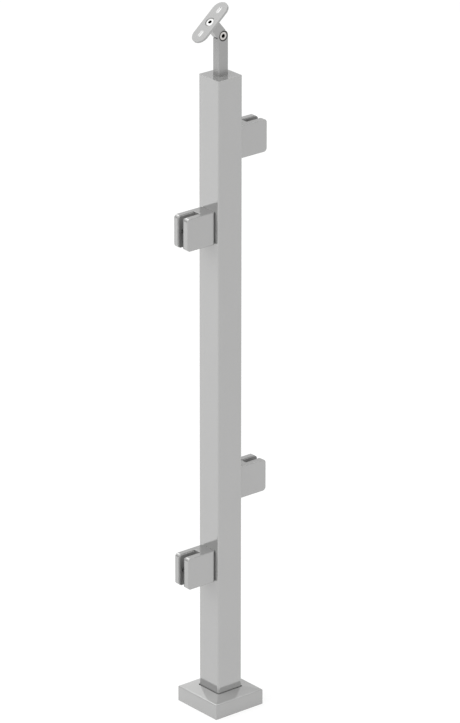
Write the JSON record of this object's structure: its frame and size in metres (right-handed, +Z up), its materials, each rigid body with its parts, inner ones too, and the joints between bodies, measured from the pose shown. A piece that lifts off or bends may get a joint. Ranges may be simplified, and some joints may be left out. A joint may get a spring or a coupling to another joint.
{
  "type": "stair railing post",
  "caption": "Square steel stair railing post with a base cover, stepped clamps for glass panels and a tilting saddle for a sloping handrail.",
  "frame": {"origin": "on the floor, at the middle of the post", "axes": "+Z up along the post, +X towards the higher clamps and up the stairs, -Y towards the front"},
  "size_m": [0.1322, 0.08, 0.9792],
  "materials": {
    "satin_steel": "satin",
    "screw_steel": "smooth",
    "nut_steel": "plain",
    "gasket_rubber": "matt"
  },
  "bodies": {
    "post": {"post_tube": "satin_steel", "base_flange": "satin_steel", "top_cap": "satin_steel", "handrail_stem": "satin_steel", "stem_screw": "screw_steel", "lower_left_clamp_body": "satin_steel", "lower_left_clamp_jaw": "satin_steel", "lower_left_front_gasket": "gasket_rubber", "lower_left_rear_gasket": "gasket_rubber", "lower_left_rivet_nut": "nut_steel", "lower_left_mounting_screw": "screw_steel", "lower_left_upper_jaw_screw": "screw_steel", "lower_left_lower_jaw_screw": "screw_steel", "lower_right_clamp_body": "satin_steel", "lower_right_clamp_jaw": "satin_steel", "lower_right_front_gasket": "gasket_rubber", "lower_right_rear_gasket": "gasket_rubber", "lower_right_rivet_nut": "nut_steel", "lower_right_mounting_screw": "screw_steel", "lower_right_upper_jaw_screw": "screw_steel", "lower_right_lower_jaw_screw": "screw_steel", "upper_left_clamp_body": "satin_steel", "upper_left_clamp_jaw": "satin_steel", "upper_left_front_gasket": "gasket_rubber", "upper_left_rear_gasket": "gasket_rubber", "upper_left_rivet_nut": "nut_steel", "upper_left_mounting_screw": "screw_steel", "upper_left_upper_jaw_screw": "screw_steel", "upper_left_lower_jaw_screw": "screw_steel", "upper_right_clamp_body": "satin_steel", "upper_right_clamp_jaw": "satin_steel", "upper_right_front_gasket": "gasket_rubber", "upper_right_rear_gasket": "gasket_rubber", "upper_right_rivet_nut": "nut_steel", "upper_right_mounting_screw": "screw_steel", "upper_right_upper_jaw_screw": "screw_steel", "upper_right_lower_jaw_screw": "screw_steel"},
    "cover": {"base_cover": "satin_steel"},
    "knuckle": {"bracket_knuckle": "satin_steel", "hinge_screw": "screw_steel", "saddle_screw": "screw_steel"},
    "saddle": {"saddle_plate": "satin_steel"}
  },
  "joints": [
    {"name": "cover_lift", "type": "slide", "parent": "post", "child": "cover", "axis": [0, 0, 1], "range_m": [0, 0.16]},
    {"name": "bracket_tilt", "type": "hinge", "parent": "post", "child": "knuckle", "pos_m": [0, 0, 0.9372], "axis": [0, 1, 0], "range_deg": [-5, 85]},
    {"name": "saddle_swivel", "type": "hinge", "parent": "knuckle", "child": "saddle", "pos_m": [-0.01787, 0, 0.9585], "axis": [-0.6428, 0, 0.766], "continuous": true}
  ]
}
